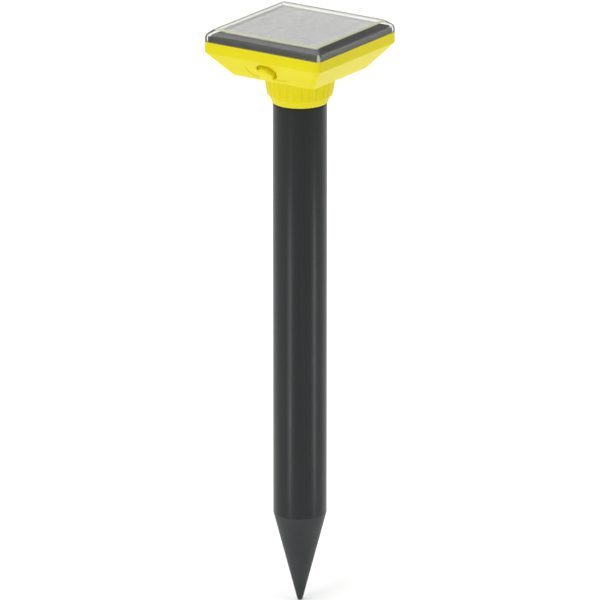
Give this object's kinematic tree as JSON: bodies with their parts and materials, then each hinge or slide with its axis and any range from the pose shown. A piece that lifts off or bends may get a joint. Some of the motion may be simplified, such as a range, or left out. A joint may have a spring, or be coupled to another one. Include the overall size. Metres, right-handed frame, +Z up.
{
  "type": "ground-stake pest repeller",
  "caption": "Solar-powered ground-stake pest repeller: a square yellow head with a clear cover over a solar panel, a ribbed union nut, a tubular stake and a pointed end.",
  "frame": {"origin": "on the stake's axis at the top end of its tube, 1.5 mm under the union nut's lower rim", "axes": "+Z runs up the stake's axis through the head, -Y points out of the head's face that carries the push button, and +X is to the right seen from that face"},
  "size_m": [0.102, 0.102, 0.4499],
  "materials": {
    "yellow_plastic": "moulded yellow plastic with a soft gloss",
    "clear_plastic": null,
    "stake_plastic": "charcoal plastic with a satin surface",
    "tray_plastic": "dark grey plastic with a fine grain",
    "carrier_plastic": "black moulded plastic",
    "seal_rubber": "black rubber",
    "foam": "closed-cell foam tape",
    "screw_steel": "zinc-plated steel",
    "spring_steel": "spring steel wire",
    "magnet_steel": "plated magnet and yoke steel",
    "contact_steel": "nickel-plated contact strip",
    "solar_silicon": "dark blue solar cells",
    "ribbon_tin": "tinned copper ribbon",
    "clear_resin": "clear casting resin over the cells",
    "board_green": "green circuit board",
    "chip_black": "black component bodies",
    "capacitor_can": "aluminium component cans",
    "socket_nylon": "natural nylon sockets",
    "cell_sleeve": "plain green shrink sleeve over round cells",
    "coil_copper": "enamelled copper winding",
    "cone_paper": "black pressed paper diaphragm",
    "wire_red": "coloured wire insulation",
    "wire_grey": "grey wire insulation"
  },
  "bodies": {
    "stake": {"stake_tube": "stake_plastic", "spike_point": "stake_plastic", "threaded_insert": "stake_plastic"},
    "head": {"neck_ring": "yellow_plastic", "neck_seal": "seal_rubber", "clamp_screws": "screw_steel", "head_housing": "yellow_plastic", "button_boot": "seal_rubber", "button_spring": "spring_steel", "switch_board": "board_green", "tact_switch": "chip_black", "switch_screws": "screw_steel", "rim_gasket": "seal_rubber", "clear_cover": "clear_plastic", "panel_tray": "tray_plastic", "tray_screws": "screw_steel", "panel_foam": "foam", "solar_board": "board_green", "solar_cells": "solar_silicon", "cell_ribbons": "ribbon_tin", "panel_resin": "clear_resin", "panel_dot": "chip_black", "control_board": "board_green", "board_screws": "screw_steel", "board_chips": "chip_black", "board_capacitors": "capacitor_can", "board_inductor": "coil_copper", "board_sockets": "socket_nylon", "battery_carrier": "carrier_plastic", "battery_cells": "cell_sleeve", "battery_contact": "contact_steel", "battery_spring": "contact_steel", "speaker_basket": "carrier_plastic", "speaker_yoke": "magnet_steel", "speaker_magnet": "magnet_steel", "speaker_gap_plate": "magnet_steel", "speaker_coil": "coil_copper", "speaker_diaphragm": "cone_paper", "speaker_surround": "seal_rubber", "speaker_grille": "carrier_plastic", "speaker_screws": "screw_steel", "panel_wires": "wire_red", "switch_wires": "wire_grey", "battery_wires": "wire_red", "speaker_wires": "wire_grey"},
    "union_nut": {"union_nut": "yellow_plastic"},
    "button": {"power_button": "yellow_plastic"}
  },
  "joints": [
    {"name": "head_lift", "type": "slide", "parent": "stake", "child": "head", "axis": [0, 0, 1], "range_m": [0, 0.012]},
    {"name": "nut_turn", "type": "hinge", "parent": "head", "child": "union_nut", "pos_m": [0, 0, 0], "axis": [0, 0, 1], "range_deg": [0, 1080]},
    {"name": "button_press", "type": "slide", "parent": "head", "child": "button", "axis": [0, 0.7717, 0.636], "range_m": [0, 0.0015], "stiffness_N_per_m": 600, "springref_m": -0.0005, "deforming": ["button_spring"]}
  ],
  "couplings": [
    {"joint": "nut_turn", "follows": "head_lift", "rad_per_m": 1570.8}
  ]
}
